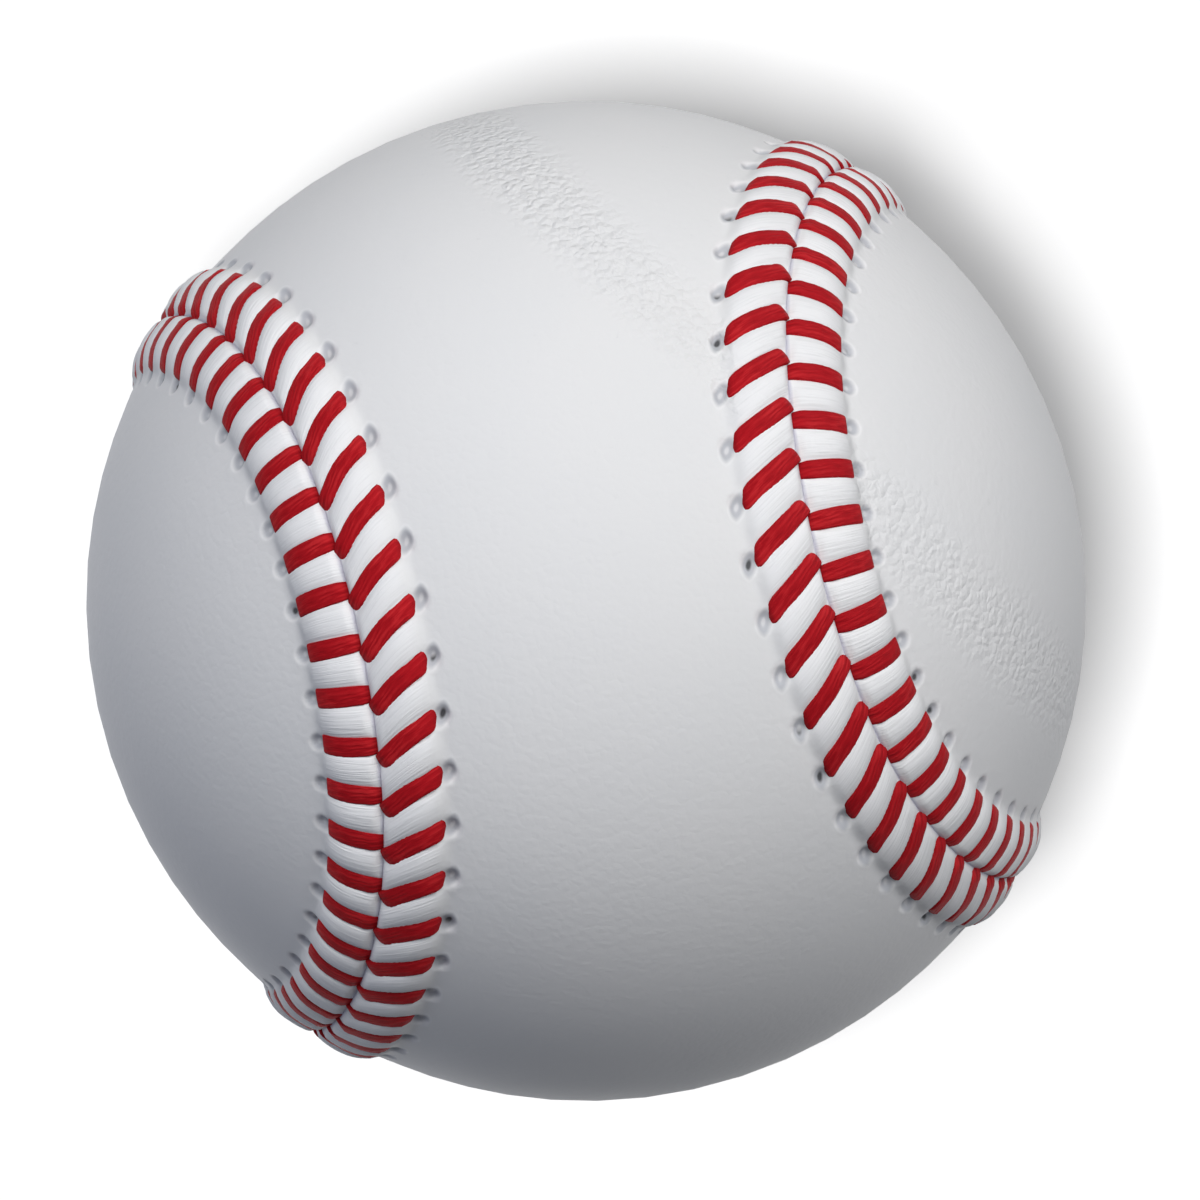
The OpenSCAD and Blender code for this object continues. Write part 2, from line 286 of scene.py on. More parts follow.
def panel_mesh(side, seam):
    """One closed figure-eight panel: a band along the seam, with both faces filled across."""
    ball = seam.ball
    count = ball.stitches * POINTS_PER_STITCH
    # the rings start at a lobe's tip
    quarter = 0.25 if side == PANEL_A else 0.0
    along = seam.length * (np.arange(count) / count + quarter)
    inner_radius = seam.radius - ball.leather
    rows, away_rows = [], []
    for away, lift in INNER_RINGS:
        away = np.full(count, away * MM)
        rows.append(seam.beside(along, away, side) * (inner_radius + lift * MM))
        away_rows.append(away)
    for away in OUTER_RINGS:
        away = np.full(count, away * MM)
        radius = seam.radius + cover_height(along, away, side, seam)
        rows.append(seam.beside(along, away, side) * radius[:, None])
        away_rows.append(away)
    outside = np.arange(len(rows)) >= len(INNER_RINGS)
    numbers = {
        "stitch": [seam.phase(along, away, side) for away in away_rows],
        "away": [away / MM for away in away_rows],
        "outside": outside[:, None] * np.ones(count),
    }
    shape, first, last = rolled_grid(np.array(rows), numbers, closed_rows=False)
    rungs = rungs_across(shape, first) + rungs_across(shape, last)
    bmesh.ops.subdivide_edges(shape, edges=rungs, cuts=FILL_ROWS, use_grid_fill=True)
    away, outside = (shape.verts.layers.float[name] for name in ("away", "outside"))
    for vert in shape.verts:
        if vert[away] > FILL_STARTS:
            vert.co = vert.co.normalized() * (seam.radius if vert[outside] > 0.5 else inner_radius)
    bmesh.ops.recalc_face_normals(shape, faces=list(shape.faces))
    return shape


def rungs_across(shape, ring):
    """Close a ring with faces between points that mirror each other, and give their rungs."""
    count, half = len(ring), len(ring) // 2

    def edge(i, j):
        return shape.edges.get((ring[i % count], ring[j % count]))

    sides = [edge(i, i + 1) for i in (*range(1, half - 1), *range(half + 1, count - 1))]
    rungs = list(bmesh.ops.bridge_loops(shape, edges=sides)["edges"])
    for tip in (0, half):
        corner = [edge(tip - 1, tip + 1), edge(tip, tip - 1), edge(tip, tip + 1)]
        bmesh.ops.contextual_create(shape, geom=corner)
        rungs += [corner[0]] * (corner[0] not in rungs)
    return rungs


# ---------------------------------------------------------------------------------------------
# Threads

# Points of a flat leg, as shares of the way from the seam to the row of holes. There are tables
# of how far, in millimetres, it bends off the pressed leather, and of its width as a share.
LEG_POINTS = (
    0.0, 0.02, 0.045, 0.08, 0.12, 0.17, 0.24, 0.37, 0.50, 0.63, 0.75, 0.83, 0.86, 0.88, 0.90, 1.0,
)
LEG_BEND = (
    (0, -0.75), (0.02, -0.42), (0.045, -0.20), (0.08, -0.05), (0.12, 0.03), (0.17, 0.05),
    (0.24, 0), (0.83, 0), (0.86, -0.01), (0.88, -0.12), (0.90, -0.50), (1, -1.3),
)
LEG_WIDTH = (
    (0, 0.78), (0.045, 0.90), (0.12, 0.97), (0.4, 1.05), (0.7, 1.05), (0.83, 1.02), (0.88, 0.96),
    (0.90, 0.92), (1, 0.8),
)
VALLEY = 0.35 * MM  # nearer the seam than this, a leg doesn't follow the leather down
SLANT_STARTS, SLANT_LENGTH = 0.76, 0.10  # of the leg's end, which is cut off along the row of holes
ROW_STEP = 0.2 * MM  # to either side of a hole, for the direction of the row
WIDTH_RANGE = (0.95, 1.05)  # by which legs differ, as a share
BOW_RANGE = (-0.09 * MM, 0.09 * MM)  # by which legs differ
SEED = 108

RUN_DEPTH = 0.23 * MM  # of the hidden runs' middle line, below the leather
RUN_POINTS = (0.12, 0.5, 0.88)  # as shares of the way from the seam to the next hole
HOLE_END, SEAM_END = 1.006, 1.004  # a run's ends lie this many times as far out as its middle
# the number kept on the points: 0 to 1 on a leg from its hole to the seam, beyond that hidden
BEFORE_LEG, AFTER_LEG = (-0.06,), (1.06, 1.2, 1.4, 1.6)

THREAD_SIDES = 12
SQUARENESS = 0.35  # of a thread's section, from 1, an ellipse, to 0, a rectangle


def strand_path(seam, first):
    """Middle points, width directions, their skew, half sizes and leg numbers of one thread."""
    ball = seam.ball
    leg = np.array(LEG_POINTS)
    away = leg * ball.thread_row
    rise = welt_height(np.maximum(away, VALLEY), ball) - ball.press + ball.thread_rise
    height = seam.radius + rise + look_up(LEG_BEND, leg) * MM
    half_width = look_up(LEG_WIDTH, leg) * ball.thread_width / 2
    slanting = np.clip((leg - SLANT_STARTS) / SLANT_LENGTH, 0, 1)
    run_radius = seam.radius - ball.leather - RUN_DEPTH
    round_size = (ball.thread_round / 2,) * 2
    straight = np.zeros(3)
    chance = np.random.default_rng(SEED + first)
    middle, wide, skew, half, number = [], [], [], [], []
    for stitch in range(ball.stitches):
        fuller, bowed = chance.uniform(*WIDTH_RANGE), chance.uniform(*BOW_RANGE)
        side = PANEL_A if (stitch + first) % 2 == 0 else PANEL_B
        tip, hole = seam.tip(stitch), seam.hole(stitch, side)
        along = tip - seam.leg_line(tip, away, side) + bowed * np.sin(np.pi * leg)
        points = seam.beside(along, away, side) * height[:, None]
        across = unit(np.cross(points.sum(axis=0), points[-1] - points[0]))
        beside_hole = hole + np.array((-ROW_STEP, ROW_STEP))
        row = np.diff(seam.beside(beside_hole, ball.thread_row, side), axis=0)[0]
        slant = (row / (row @ across) - across) * slanting[:, None]
        # hidden ends: below the hole, below the seam and below the other panel's next hole
        bottom = seam.beside(hole, ball.thread_row, side) * run_radius
        start = seam.beside(tip + seam.enter(side), 0.0, side) * run_radius
        goal = seam.beside(seam.hole(stitch + 1, -side), ball.thread_row, -side) * run_radius
        under = np.array([start * (1 - share) + goal * share for share in RUN_POINTS])
        below = unit(np.cross(under.sum(axis=0), under[-1] - under[0]))
        below *= np.sign(below @ across) or 1.0
        # up out of the last hole, over the welt to the seam, then under the leather
        middle += [bottom * HOLE_END, *points[::-1], start * SEAM_END, *under]
        wide += [across] * (len(leg) + 2) + [below] * len(under)
        skew += [straight, *slant[::-1]] + [straight] * len(AFTER_LEG)
        half += [round_size]
        half += [(width * fuller, ball.thread_thickness / 2) for width in half_width[::-1]]
        half += [round_size] * len(AFTER_LEG)
        number += [*BEFORE_LEG, *(1 - leg[::-1]), *AFTER_LEG]
    return (np.array(values) for values in (middle, wide, skew, half, number))


def squared(wave):
    """A sine or cosine, drawn out towards the sides of a rectangle."""
    return np.sign(wave) * np.abs(wave) ** SQUARENESS


def strand_mesh(seam, first):
    """One thread as a closed tube with a rounded rectangle for its section."""
    middle, wide, skew, half, number = strand_path(seam, first)
    way = unit(np.roll(middle, -1, axis=0) - np.roll(middle, 1, axis=0))
    wide = unit(wide - way * (wide * way).sum(axis=1, keepdims=True))
    deep = np.cross(way, wide)
    angle = np.linspace(0, 2 * np.pi, THREAD_SIDES, endpoint=False)
    rows = (
        middle[:, None]
        + (wide + skew)[:, None] * (half[:, 0, None] * squared(np.cos(angle)))[..., None]
        + deep[:, None] * (half[:, 1, None] * squared(np.sin(angle)))[..., None]
    )
    numbers = {
        "round": np.tile(np.arange(THREAD_SIDES) / THREAD_SIDES, (len(middle), 1)),
        "leg": np.tile(number[:, None], (1, THREAD_SIDES)),
    }
    shape = rolled_grid(rows, numbers, closed_rows=True)[0]
    bmesh.ops.recalc_face_normals(shape, faces=list(shape.faces))
    return shape


# ---------------------------------------------------------------------------------------------
# Materials


class Value:
    """A number socket on which Python's operators add Math nodes."""

    def __init__(self, shade, socket):
        self.shade, self.socket = shade, socket

    def __add__(self, other): return self.shade.math("ADD", self, other)
    def __radd__(self, other): return self.shade.math("ADD", other, self)
    def __sub__(self, other): return self.shade.math("SUBTRACT", self, other)
    def __rsub__(self, other): return self.shade.math("SUBTRACT", other, self)
    def __mul__(self, other): return self.shade.math("MULTIPLY", self, other)
    def __rmul__(self, other): return self.shade.math("MULTIPLY", other, self)
    def __pow__(self, other): return self.shade.math("POWER", self, other)


class Shade:
    """One material and the nodes in it."""

    def __init__(self, name):
        self.material = bpy.data.materials.new(name)
        self.material.use_nodes = True
        self.tree = self.material.node_tree
        self.tree.nodes.clear()

    def node(self, kind, settings=None, sockets=None, out=0):
        """Any node, from its type, its settings and the values or links of its sockets."""
        node = self.tree.nodes.new(kind)
        for key, value in (settings or {}).items():
            setattr(node, key, value)
        for key, value in (sockets or {}).items():
            if isinstance(value, Value):
                self.tree.links.new(value.socket, node.inputs[key])
            else:
                node.inputs[key].default_value = value
        return Value(self, node.outputs[out])

    def math(self, operation, *terms):
        return self.node("ShaderNodeMath", {"operation": operation}, dict(enumerate(terms)))

    def vector_math(self, operation, *terms, out="Vector"):
        settings = {"operation": operation}
        return self.node("ShaderNodeVectorMath", settings, dict(enumerate(terms)), out)

    def outputs(self, value, *names):
        """Other outputs of the node that a value comes from."""
        return [Value(self, value.socket.node.outputs[name]) for name in names]

    def parts(self, vector):
        """The X, Y and Z of a vector."""
        split = self.node("ShaderNodeSeparateXYZ", None, {"Vector": vector})
        return self.outputs(split, "X", "Y", "Z")

    def place(self, turn=(0, 0, 0)):
        """Object coordinates in millimetres."""
        where = self.node("ShaderNodeTexCoord", out="Object")
        return self.node("ShaderNodeMapping", None, {
            "Vector": where, "Rotation": turn, "Scale": (1 / MM, 1 / MM, 1 / MM),
        })

    def mapped(self, name):
        """The two numbers of a UV map."""
        return self.parts(self.node("ShaderNodeUVMap", {"uv_map": name}))[:2]

    def noise(self, where, scale, detail, rough=0.55, out="Fac"):
        return self.node("ShaderNodeTexNoise", None, {
            "Vector": where, "Scale": scale, "Detail": detail, "Roughness": rough,
        }, out)

    def cells(self, where, scale, feature="F1", out="Distance"):
        settings = {"feature": feature}
        return self.node("ShaderNodeTexVoronoi", settings, {"Vector": where, "Scale": scale}, out)

    def step(self, value, low, high):
        """0 below low and 1 above high, smooth between; falls instead where low is above high."""
        falls = low > high
        return self.node("ShaderNodeMapRange", {"interpolation_type": "SMOOTHSTEP"}, {
            "Value": value, "From Min": min(low, high), "From Max": max(low, high),
            "To Min": 1.0 if falls else 0.0, "To Max": 0.0 if falls else 1.0,
        })

    def mix(self, share, first, second):
        """Two colours mixed, as links or as plain numbers."""
        first, second = (
            tone if isinstance(tone, Value) else (*tone[:3], 1) for tone in (first, second)
        )
        return self.node(
            "ShaderNodeMix", {"data_type": "RGBA"}, {0: share, 6: first, 7: second}, out=2
        )

    def bump(self, height, distance):
        sockets = {"Height": height, "Distance": distance, "Strength": 1.0}
        return self.node("ShaderNodeBump", None, sockets)

    def surface(self, base, roughness, normal, specular=0.5):
        return self.finished(self.node("ShaderNodeBsdfPrincipled", None, {
            "Base Color": base, "Roughness": roughness, "Normal": normal,
            "Specular IOR Level": specular,
        }))

    def finished(self, shader):
        end = self.tree.nodes.new("ShaderNodeOutputMaterial")
        self.tree.links.new(shader.socket, end.inputs["Surface"])
        return self.material


# Where shades of the leather start and where they are full, in millimetres: from the seam,
WELT_EDGE, VALLEY_EDGE = (4.7, 3.7), (0.22, 0.05)
# from the middle of a hole, on dimples drawn slightly narrower across the seam than along it,
DIMPLE_EDGE, DIMPLE_MIDDLE, OPEN_EDGE = (0.86, 0.45), (0.34, 0.10), (0.42, 0.15)
RIM_OUTSIDE, RIM_INSIDE = (1.02, 0.90), (0.72, 0.84)
DIMPLE_NARROWING = 1.15
# and from the middle of the belt. It is deeper up the ball, and ends down its sides.
BELT_EDGE, BELT_DEEPENS, BELT_ENDS = (3.8, 1.0), (6, 20), (-16, -4)
BELT_WANDER = 1.3
# shares of the grain's depth: on the belt, what it gains, elsewhere, and for the welt's lines
BELT_RELIEF, BELT_GAIN, SKIN_RELIEF, LINE_RELIEF = 0.40, 0.32, 0.08, 0.27
LEATHER_SHEEN, THREAD_SHEEN = 0.05, 0.06


def leather_material(name, looks, seam):
    """White leather with a belt of pebbles, stretched on the welt and shaded at the holes."""
    shade = Shade(name)
    here = shade.place()
    stitch, away = shade.mapped("seam_map")
    on_welt = shade.step(away, *WELT_EDGE)
    valley_shade = shade.step(away, *VALLEY_EDGE)
    # painted shade in a dimple, lighter in its middle, a painted highlight on its rim, and painted
    # shade for the hole itself where it isn't covered
    between = shade.math("PINGPONG", stitch, 0.5) * (seam.pitch / MM)
    beyond = (away - seam.ball.hole_row / MM) * DIMPLE_NARROWING
    from_hole = (between * between + beyond * beyond) ** 0.5
    lighter = shade.step(from_hole, *DIMPLE_MIDDLE) * 0.55
    dimple = shade.step(from_hole, *DIMPLE_EDGE) * (1 - lighter)
    rim = shade.step(from_hole, *RIM_OUTSIDE) * shade.step(from_hole, *RIM_INSIDE)
    uncovered = shade.step(shade.noise(here, 0.16, 0.0), 0.60, 0.66)
    open_hole_shade = shade.step(from_hole, *OPEN_EDGE) * uncovered
    # lines along the threads, where the welt's leather is stretched
    stretched = shade.node("ShaderNodeCombineXYZ", None, {"X": stitch * 24.0, "Y": away * 0.3})
    lines = shade.noise(stretched, 1.0, 2.0, 0.5)
    # colour
    cloud = shade.noise(here, 0.09, 2.0)
    fleck = shade.noise(here, 1.3, 4.0, 0.7)
    skin = shade.mix(cloud, looks.leather, looks.leather_cool)
    skin = shade.mix(shade.step(fleck, 0.62, 0.85) * 0.25, skin, looks.leather_dirt)
    skin = shade.mix(on_welt, skin, looks.welt)
    skin = shade.mix(on_welt * shade.step(lines, 0.52, 0.30) * 0.2, skin, looks.leather_dirt)
    # painted highlight on each dimple's rim
    skin = shade.mix(rim * 0.35, skin, looks.welt)
    # painted shade in the dimples
    skin = shade.mix(dimple * 0.75, skin, looks.hole)
    # painted shade: the dark inside of a needle hole that no thread covers
    skin = shade.mix(open_hole_shade * 0.9, skin, looks.open_hole_shade)
    # painted shade in the seam's valley
    skin = shade.mix(valley_shade * 0.4, skin, looks.seam)
    # pebbles, from cells on a bent place, and pores between them
    bending = shade.noise(here, 1.1, 1.0, 0.5, out="Color")
    bent = shade.vector_math("MULTIPLY_ADD", bending, (0.9, 0.9, 0.9), here)
    pebble = shade.cells(bent, looks.grain_scale)
    pore = shade.noise(here, looks.grain_scale * 1.6, 1.0)
    # the hide is pebbled faintly all over, and most along one belt
    along_way = shade.vector_math("DOT_PRODUCT", here, looks.belt_way, out="Value")
    wander = (shade.noise(here, 0.15, 2.0) - 0.5) * BELT_WANDER
    from_belt = shade.math("ABSOLUTE", along_way + wander - looks.belt_place / MM)
    _, upward, height = shade.parts(here)
    belt = shade.step(from_belt, *BELT_EDGE) * shade.step(height, *BELT_ENDS)
    depth = belt * (shade.step(upward, *BELT_DEEPENS) * BELT_GAIN + BELT_RELIEF) + SKIN_RELIEF
    grain = (pore * 0.5 - pebble) * depth * (1 - on_welt * 0.8)
    normal = shade.bump(grain + lines * on_welt * LINE_RELIEF, looks.grain_depth)
    rough = looks.leather_roughness + (cloud - 0.5) * 0.08 + on_welt * 0.08 + fleck * 0.06
    return shade.surface(skin, rough, normal, specular=LEATHER_SHEEN)


def thread_material(looks):
    """Waxed red thread: fibres along it, painted shade at its edges and ends, and painted
    highlights on the wax.
    """
    shade = Shade("waxed_red_thread")
    here = shade.place()
    around, along = shade.mapped("strand_map")
    # 0 on the flat top and bottom, 1 at the narrow edges
    edge = shade.math("PINGPONG", around + 0.25, 0.25) * 4.0
    end = shade.step(along, 0.90, 1.0) + shade.step(along, 0.15, 0.10)
    stretched = shade.node("ShaderNodeCombineXYZ", None, {
        "X": along * 3.0, "Y": around * 26.0 + along * 1.6,
    })
    fibre = shade.noise(stretched, 1.0, 3.0, 0.6)
    cloud = shade.noise(here, 0.35, 2.0)
    red = shade.mix(shade.step(fibre, 0.20, 0.58) * 0.8 + 0.2, looks.thread_dark, looks.thread)
    # painted highlights, where the wax would catch light
    red = shade.mix(shade.step(fibre + cloud * 0.5, 0.72, 1.0) * 0.7, red, looks.thread_glint)
    # painted shade along the thread's narrow edges and at both of its ends
    red = shade.mix(shade.step(edge, 0.7, 1.0) * 0.8, red, looks.thread_dark)
    red = shade.mix(end * 0.6, red, looks.thread_dark)
    normal = shade.bump(fibre, looks.thread_relief)
    rough = looks.thread_roughness + fibre * 0.1
    return shade.surface(red, rough, normal, specular=THREAD_SHEEN)


WAVE_LENGTH = 0.314  # of a wave texture at scale 1


def yarn_material(name, wool, shadow, width, turns):
    """Yarn laid in great circles: sets of strands that cross, each turned its own way."""
    shade = Shade(name)
    relief, tone = None, None
    for turn in turns:
        spot = shade.place(turn)
        bend = shade.noise(spot, 0.06, 2.0)
        strand = shade.node("ShaderNodeTexWave", {"bands_direction": "Z"}, {
            "Vector": spot, "Scale": WAVE_LENGTH / width, "Distortion": 1.2, "Detail": 1.0,
            "Detail Scale": 0.4,
        }, out="Fac")
        chosen = shade.step(bend, 0.42, 0.58)
        relief = strand if relief is None else relief * (1 - chosen) + strand * chosen
        tone = bend if tone is None else tone * 0.5 + bend * 0.5
    fuzz = shade.noise(shade.place(), 5.0, 4.0, 0.7)
    tint = shade.mix(relief * 0.75 + fuzz * 0.25, shadow, wool)
    normal = shade.bump(relief + fuzz * 0.35, 0.35 * MM)
    return shade.surface(tint, 0.92 - tone * 0.08, normal)


def rubber_material(name, rubber, dust, roughness):
    """Moulded rubber with clouds and specks of dust."""
    shade = Shade(name)
    here = shade.place()
    cloud = shade.noise(here, 0.25, 3.0)
    speck = shade.noise(here, 6.0, 3.0, 0.7)
    tint = shade.mix(shade.step(cloud, 0.45, 0.8) * 0.6, rubber, dust)
    tint = shade.mix(shade.step(speck, 0.6, 0.75) * 0.4, tint, dust)
    normal = shade.bump(speck + cloud * 0.5, 0.06 * MM)
    return shade.surface(tint, roughness + cloud * 0.15, normal)


def cork_material(looks):
    """Composition cork: granules of different tones in a dark binder."""
    shade = Shade("composition_cork")
    here = shade.place()
    granules = 0.75  # per millimetre
    tone = shade.parts(shade.cells(here, granules, out="Color"))[0]
    inside = shade.step(shade.cells(here, granules, "DISTANCE_TO_EDGE"), 0.0, 0.09)
    fine = shade.noise(here, 4.0, 4.0, 0.7)
    bark = shade.mix(tone, looks.cork, looks.cork_dark)
    bark = shade.mix(shade.step(fine, 0.58, 0.75) * 0.6, bark, looks.cork_dark)
    bark = shade.mix(1 - inside, bark, looks.cork_dark)
    normal = shade.bump(inside + fine * 0.5, 0.12 * MM)
    return shade.surface(bark, 0.82 + fine * 0.1, normal)


def floor_material():
    """White paper to the camera and in reflections, a dull grey to light that bounces off it."""
    shade = Shade("white_floor")
    camera = shade.node("ShaderNodeLightPath", out="Is Camera Ray")
    glossy, through = shade.outputs(camera, "Is Glossy Ray", "Is Transmission Ray")
    seen = shade.math("MAXIMUM", shade.math("MAXIMUM", camera, glossy), through)
    dull = shade.node("ShaderNodeBsdfDiffuse", None, {"Color": FLOOR_BOUNCE})
    paper = shade.node("ShaderNodeBsdfDiffuse", None, {"Color": FLOOR_PAPER})
    glow = shade.node("ShaderNodeEmission", None, {"Color": WHITE, "Strength": FLOOR_GLOW})
    bright = shade.node("ShaderNodeAddShader", None, {0: paper, 1: glow})
    return shade.finished(shade.node("ShaderNodeMixShader", None, {0: seen, 1: dull, 2: bright}))


def set_material(node, material):
    mesh = NODES[node].data
    if len(mesh.materials) == 0:
        mesh.materials.append(material)
    for slot in range(len(mesh.materials)):
        mesh.materials[slot] = material


# ---------------------------------------------------------------------------------------------
# Sizes and colours


def metres(name, description, default):
    return FloatProperty(
        name=name, description=description, default=default, min=0, unit="LENGTH", precision=5
    )


def fraction(name, description, default):
    return FloatProperty(
        name=name, description=description, default=default, min=0, max=1, subtype="FACTOR"
    )


def colour(name, description, default):
    return FloatVectorProperty(
        name=name, description=description, default=default, size=3, min=0, max=1, subtype="COLOR"
    )


class BaseballSizes(bpy.types.PropertyGroup):
    """Sizes of the cover and of the stitching"""

    diameter: metres("Ball diameter", "Over the smooth leather", 74.4 * MM)
    leather: metres("Leather", "Thickness of the leather", 1.22 * MM)
    welt_height: metres("Welt height", "Of the welt above the smooth leather", 0.85 * MM)
    puff: metres("Puff", "How far the leather swells between two threads", 0.26 * MM)
    press: metres("Press", "How deep a thread presses into the welt", 0.24 * MM)
    dimple: metres("Dimple", "Depth of the dimple at a needle hole", 0.32 * MM)
    thread_row: metres("Thread row", "Distance of the needle holes from the seam", 4.85 * MM)
    hole_row: metres("Hole row", "Distance of the dimples from the seam", 5.0 * MM)
    thread_width: metres("Thread width", "Width of the flat thread", 1.45 * MM)
    thread_thickness: metres("Thread thickness", "Thickness of the flat thread", 0.56 * MM)
    thread_round: metres("Round thread", "Diameter of the thread under the leather", 0.66 * MM)
    thread_rise: metres("Thread rise", "Of a thread's middle above the pressed leather", 0.08 * MM)
    lean_a: metres("Lean in panel A", "How far its holes lie behind their V tips", 2.3 * MM)
    lean_b: metres("Lean in panel B", "How far its holes lie behind their V tips", 0.5 * MM)
    bow_a: metres("Bow in panel A", "How far the legs of panel A bow, at most", 0.75 * MM)
    enter_a: metres("Seam entry in panel A", "How far past its V tip a leg enters", 0.9 * MM)
    enter_b: metres("Seam entry in panel B", "How far before its V tip a leg enters", 0.5 * MM)
    stitches: IntProperty(
        name="Stitches", description="Double stitches around the seam", default=108, min=12
    )
    stitch_phase: fraction("Stitch phase", "First stitch's place, as a share of the pitch", 0.32)
    waist_share: fraction("Waist", "How much the waist of a panel is drawn in", 0.411)
    lobe_share: fraction("Lobe", "How much the lobes of a panel are squared off", 0.03)


class BaseballLooks(bpy.types.PropertyGroup):
    """Colours and finishes of the materials"""

    leather: colour("Leather", "Smooth leather", (0.80, 0.795, 0.795))
    leather_cool: colour("Cool leather", "Second tone of the smooth leather", (0.765, 0.77, 0.78))
    leather_dirt: colour("Leather flecks", "Small flecks in the leather", (0.55, 0.55, 0.56))
    welt: colour("Welt", "Stretched leather on the welt", (0.86, 0.86, 0.87))
    hole: colour("Needle hole", "Shaded leather in the dimple of a hole", (0.41, 0.43, 0.47))
    # painted shade for the dark inside of an uncovered needle hole
    open_hole_shade: colour("Open hole", "Where the needle hole itself shows", (0.03, 0.03, 0.035))
    seam: colour("Seam", "Shaded leather in the valley of the seam", (0.42, 0.41, 0.55))
    grain_scale: FloatProperty(
        name="Grain", description="Pebbles of the leather per millimetre", default=1.5, min=0.1
    )
    grain_depth: metres("Grain depth", "Depth of the leather's relief", 0.22 * MM)
    belt_way: FloatVectorProperty(
        name="Belt direction", description="Square to the belt of coarser grain",
        default=(0.832, 0.553, 0.046), size=3, subtype="DIRECTION",
    )
    belt_place: metres("Belt place", "How far the belt lies from the ball's middle", 19.4 * MM)
    leather_roughness: fraction("Leather roughness", "Roughness of the smooth leather", 0.38)
    thread: colour("Thread", "Red of the waxed thread", (0.43, 0.010, 0.016))
    # for dark fibres, and for the painted shade at the thread's edges and ends
    thread_dark: colour("Dark thread", "Edges and hollows of the thread", (0.25, 0.005, 0.009))
    # painted highlight on the wax
    thread_glint: colour("Light thread", "Where the wax catches light", (0.62, 0.03, 0.035))
    thread_relief: metres("Thread relief", "Depth of the fibres", 0.10 * MM)
    thread_roughness: fraction("Thread roughness", "Roughness of the waxed thread", 0.48)
    grey_wool: colour("Grey wool", "First and third winding", (0.33, 0.34, 0.36))
    white_wool: colour("White wool", "Second winding", (0.78, 0.76, 0.70))
    white_cotton: colour("White cotton", "Last winding", (0.84, 0.82, 0.77))
    black_rubber: colour("Black rubber", "Inner half shells", (0.012, 0.012, 0.013))
    red_rubber: colour("Red rubber", "Outer half shells and washer", (0.36, 0.035, 0.025))
    cork: colour("Cork", "Composition cork", (0.42, 0.23, 0.10))
    cork_dark: colour("Dark cork", "Binder and bark in the cork", (0.12, 0.055, 0.02))


class BaseballStage(bpy.types.PropertyGroup):
    """Camera and floor"""

    camera_distance: metres("Camera distance", "From the ball's centre to the camera", 0.60)
    ball_share: fraction("Ball in the picture", "Its outline's radius as a share", 0.4167)
    floor_width: metres("Floor", "Width of the floor", 4.0)


# ---------------------------------------------------------------------------------------------
# Stage

IMAGE_SIZE = 1200  # of the photograph, in pixels
BALL_IN_IMAGE = (586.2, 601.0)  # middle of the ball's outline, from the top left corner
SENSOR_WIDTH = 36.0
NEAREST, FURTHEST = 0.01, 20.0  # that the camera sees

# the picture's right, its up and the way towards the camera, in the part's own frame
RIGHT = Vector((0.9766, -0.2152, -0.0027))
TOWARDS = RIGHT.cross(Vector((0.2151, 0.9758, 0.0391))).normalized()
UP = TOWARDS.cross(RIGHT).normalized()

WHITE = (1, 1, 1, 1)
FLOOR_PAPER = (0.8, 0.8, 0.8, 1)
FLOOR_BOUNCE = (0.150, 0.158, 0.175, 1)
FLOOR_GLOW = 0.36
WORLD_TINT, WORLD_STRENGTH = (0.80, 0.88, 1.1, 1), 0.02

# Soft lamps: name, what they light (the ball, the ball's gloss alone or the floor), place and
# long side in the picture's directions (right, up, towards the camera), size, watts and colour
NEUTRAL = (1.0, 1.0, 1.0)
LAMPS = (
    ("top_softbox", "ball", (-0.23, 0.64, 0.73), (1, 0, 0), (0.6, 0.5), 4.3, NEUTRAL),
    ("corner_softbox", "ball", (0.20, 0.35, 0.915), (1, 0, 0), (0.6, 0.5), 2.7, NEUTRAL),
    ("right_softbox", "ball", (0.60, 0.30, 0.74), (0, 1, 0), (0.6, 0.5), 3.8, NEUTRAL),
    ("low_softbox", "ball", (0.30, -0.30, 0.905), (1, 1, 0), (0.6, 0.5), 0.65, (0.93, 0.98, 1.09)),
    ("left_softbox", "ball", (-0.80, -0.10, 0.25), (0, 1, 0), (0.6, 0.4), 1.15, (0.88, 0.96, 1.17)),
    ("middle_strip", "gloss", (0.534, 0.534, 0.344), (1, -1, 0), (0.66, 0.08), 1.2, NEUTRAL),
    (
        "right_strip", "gloss", (0.822, 0.103, 0.051), (0.156, -0.58, -0.81), (0.6, 0.08), 1.2,
        NEUTRAL,
    ),
    (
        "left_strip", "gloss", (0.103, 0.822, 0.051), (-0.58, 0.156, -0.81), (0.6, 0.08), 1.2,
        NEUTRAL,
    ),
    ("floor_softbox", "floor", (-0.135, -0.102, 1.289), (1, 0, 0), (0.23, 0.23), 14.9, NEUTRAL),
)


def in_picture(numbers):
    """A place or direction given in the picture's directions."""
    return RIGHT * numbers[0] + UP * numbers[1] + TOWARDS * numbers[2]


def facing(x, y, z):
    """The turn that lays an object's own axes along three directions."""
    return Matrix((x, y, z)).transposed().to_4x4()


def make_camera(scene):
    stage, radius = scene.baseball_stage, scene.baseball_sizes.diameter / 2
    eye = bpy.data.cameras.new("camera")
    eye.sensor_width = SENSOR_WIDTH
    outline = math.tan(math.asin(radius / stage.camera_distance))
    eye.lens = eye.sensor_width * stage.ball_share / outline
    eye.shift_x = (IMAGE_SIZE / 2 - BALL_IN_IMAGE[0]) / IMAGE_SIZE
    eye.shift_y = (BALL_IN_IMAGE[1] - IMAGE_SIZE / 2) / IMAGE_SIZE
    eye.clip_start, eye.clip_end = NEAREST, FURTHEST
    camera = bpy.data.objects.new("camera", eye)
    spot = Matrix.Translation(TOWARDS * stage.camera_distance)
    camera.matrix_world = spot @ facing(RIGHT, UP, TOWARDS)
    scene.collection.objects.link(camera)
    scene.camera = camera


